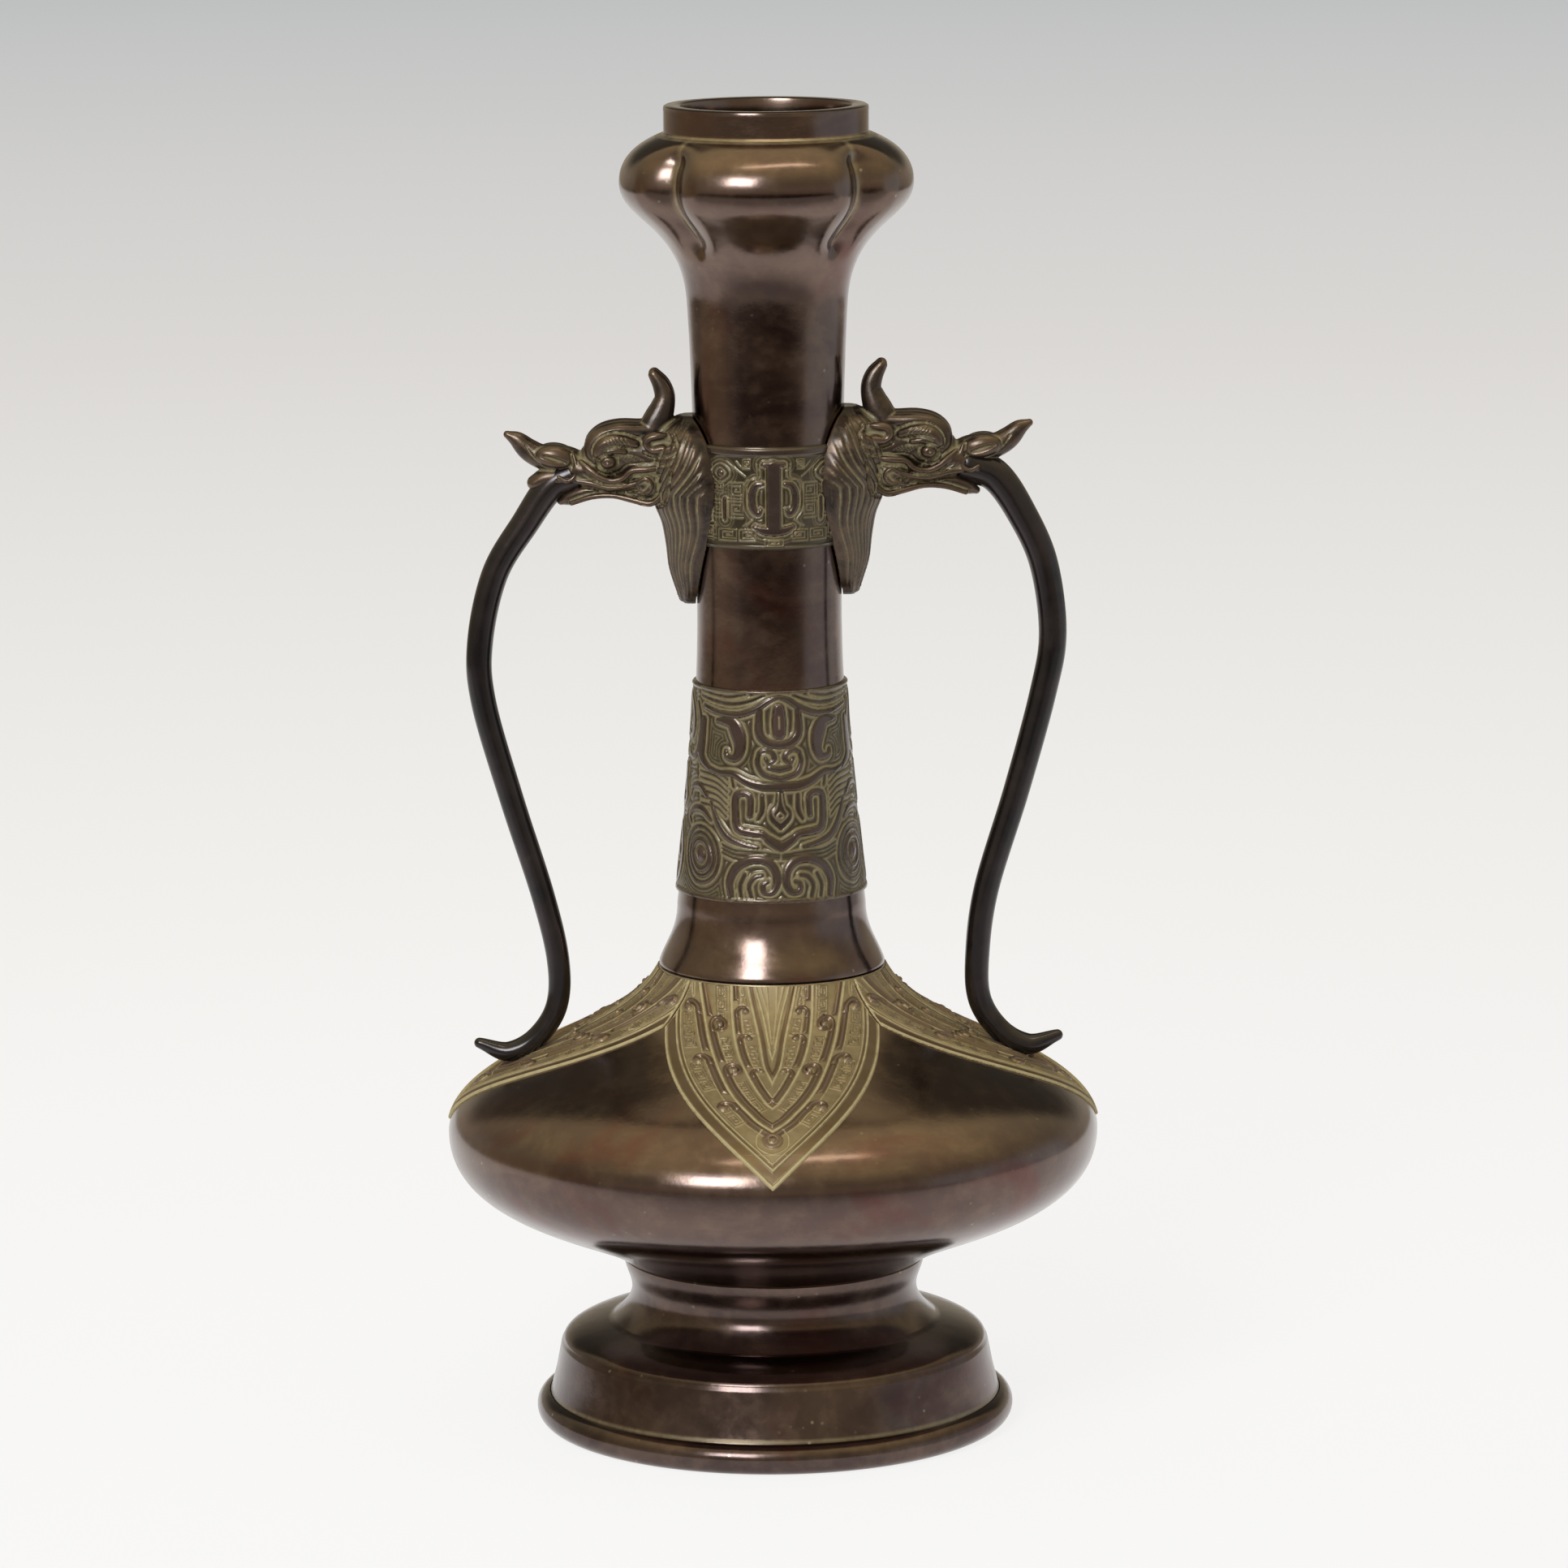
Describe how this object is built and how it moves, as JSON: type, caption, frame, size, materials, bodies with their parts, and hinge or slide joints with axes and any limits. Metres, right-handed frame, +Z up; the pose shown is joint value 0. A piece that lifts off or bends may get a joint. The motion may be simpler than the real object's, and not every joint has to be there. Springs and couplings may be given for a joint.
{
  "type": "garlic-mouth vase",
  "caption": "Bronze vase with a lobed garlic-shaped mouth, slender banded neck, low round body with raised leaves, stepped foot and dragon-head handles.",
  "frame": {"origin": "on the surface that the vase stands on, at the middle of the foot", "axes": "+Z up the axis of the vase, the front towards -Y, the handles along +X and -X"},
  "size_m": [0.1876, 0.1876, 0.38],
  "materials": {
    "polished_bronze": "dark brown patinated bronze, rubbed to a gloss, olive residue in the recesses",
    "dark_bronze": "near-black patinated bronze, satin to gloss",
    "chased_bronze": "brown bronze with olive residue in the chased lines",
    "plain_bronze": "dull brown unpolished bronze"
  },
  "bodies": {
    "root": {"neck": "polished_bronze", "body": "polished_bronze", "foot": "dark_bronze", "base_plate": "plain_bronze", "dragon_head_left": "chased_bronze", "dragon_head_right": "chased_bronze", "handle_strap_left": "dark_bronze", "handle_strap_right": "dark_bronze", "head_rivet_left_upper": "plain_bronze", "head_rivet_left_lower": "plain_bronze", "head_rivet_right_upper": "plain_bronze", "head_rivet_right_lower": "plain_bronze", "tail_pin_left": "plain_bronze", "tail_pin_right": "plain_bronze"}
  },
  "joints": []
}
